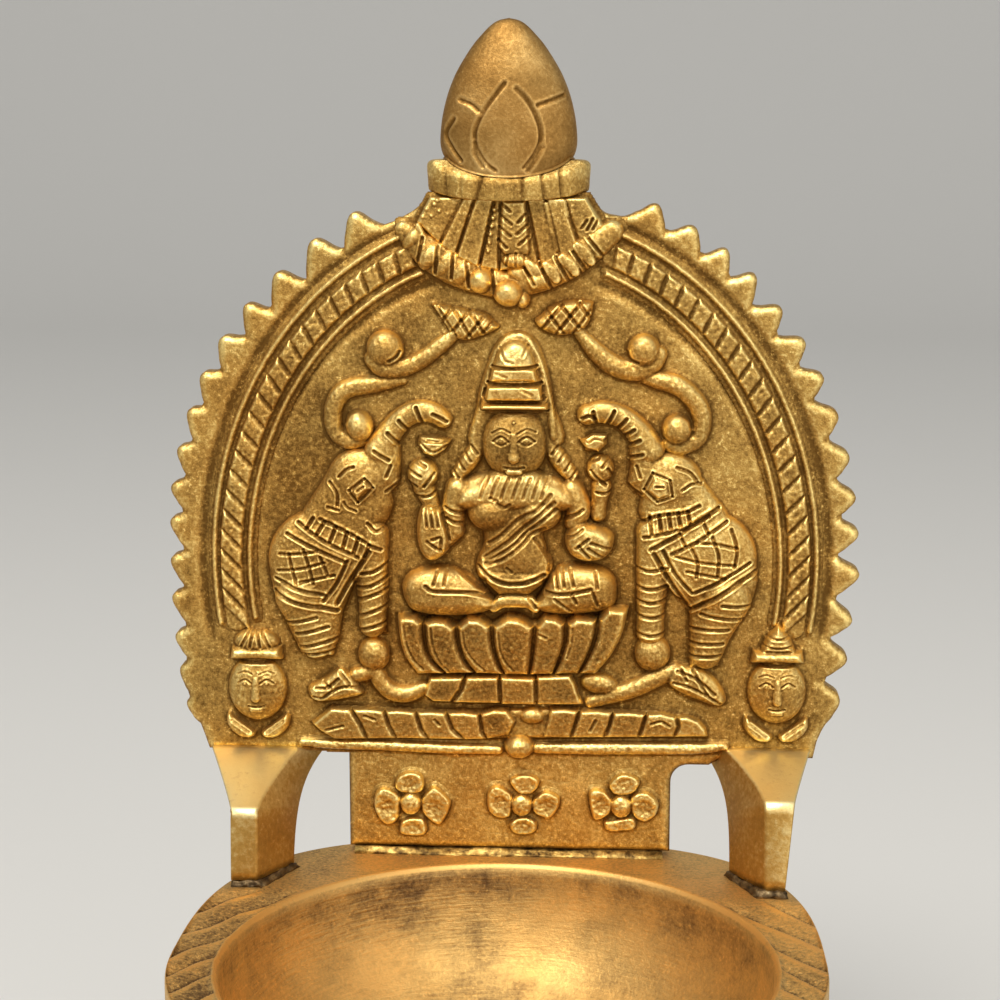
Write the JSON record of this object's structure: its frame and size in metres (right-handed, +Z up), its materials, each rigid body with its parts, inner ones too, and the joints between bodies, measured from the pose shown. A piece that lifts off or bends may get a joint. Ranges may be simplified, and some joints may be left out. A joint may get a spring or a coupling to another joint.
{
  "type": "gajalakshmi oil lamp",
  "caption": "Cast brass oil lamp: spouted oil bowl on a turned foot, with a toothed arched back plate showing a seated goddess between elephants, standing on the rim on struts.",
  "frame": {"origin": "centre of the overall box at the ground, under the bowl a little behind the spout", "axes": "+Z up the lamp, +X to the viewer's right, -Y towards the spout and the viewer"},
  "size_m": [0.0744, 0.086, 0.1377],
  "materials": {
    "foot_brass": "turned, softly polished, darker in the grooves",
    "bowl_brass": "scraped bright inside, worn satin on the flange",
    "cast_brass": "grainy as cast, brown patina",
    "relief_brass": "rubbed bright on the high spots, brown patina in the hollows",
    "fixings_brass": "plain, dull",
    "solder": "dull grey solder with a little verdigris"
  },
  "bodies": {
    "root": {"foot": "foot_brass", "foot_stud": "fixings_brass", "foot_nut": "fixings_brass", "bowl": "bowl_brass", "back_plate": "cast_brass", "finial_collar": "cast_brass", "finial_bud": "cast_brass", "left_strut": "cast_brass", "right_strut": "cast_brass", "panel_solder": "solder", "left_strut_solder": "solder", "right_strut_solder": "solder", "finial_drape": "relief_brass", "garland": "relief_brass", "seated_goddess": "relief_brass", "lotus_seat": "relief_brass", "seat_plinth": "relief_brass", "rope_band": "relief_brass", "bottom_ledge": "relief_brass", "left_rosette": "relief_brass", "middle_rosette": "relief_brass", "right_rosette": "relief_brass", "left_outer_ridge": "relief_brass", "left_inner_ridge": "relief_brass", "left_rope_border": "relief_brass", "left_scroll": "relief_brass", "left_fruit": "relief_brass", "left_elephant": "relief_brass", "left_raised_hand": "relief_brass", "left_ground_scroll": "relief_brass", "left_side_head": "relief_brass", "right_outer_ridge": "relief_brass", "right_inner_ridge": "relief_brass", "right_rope_border": "relief_brass", "right_scroll": "relief_brass", "right_fruit": "relief_brass", "right_elephant": "relief_brass", "right_raised_hand": "relief_brass", "right_ground_scroll": "relief_brass", "right_side_head": "relief_brass"}
  },
  "joints": []
}
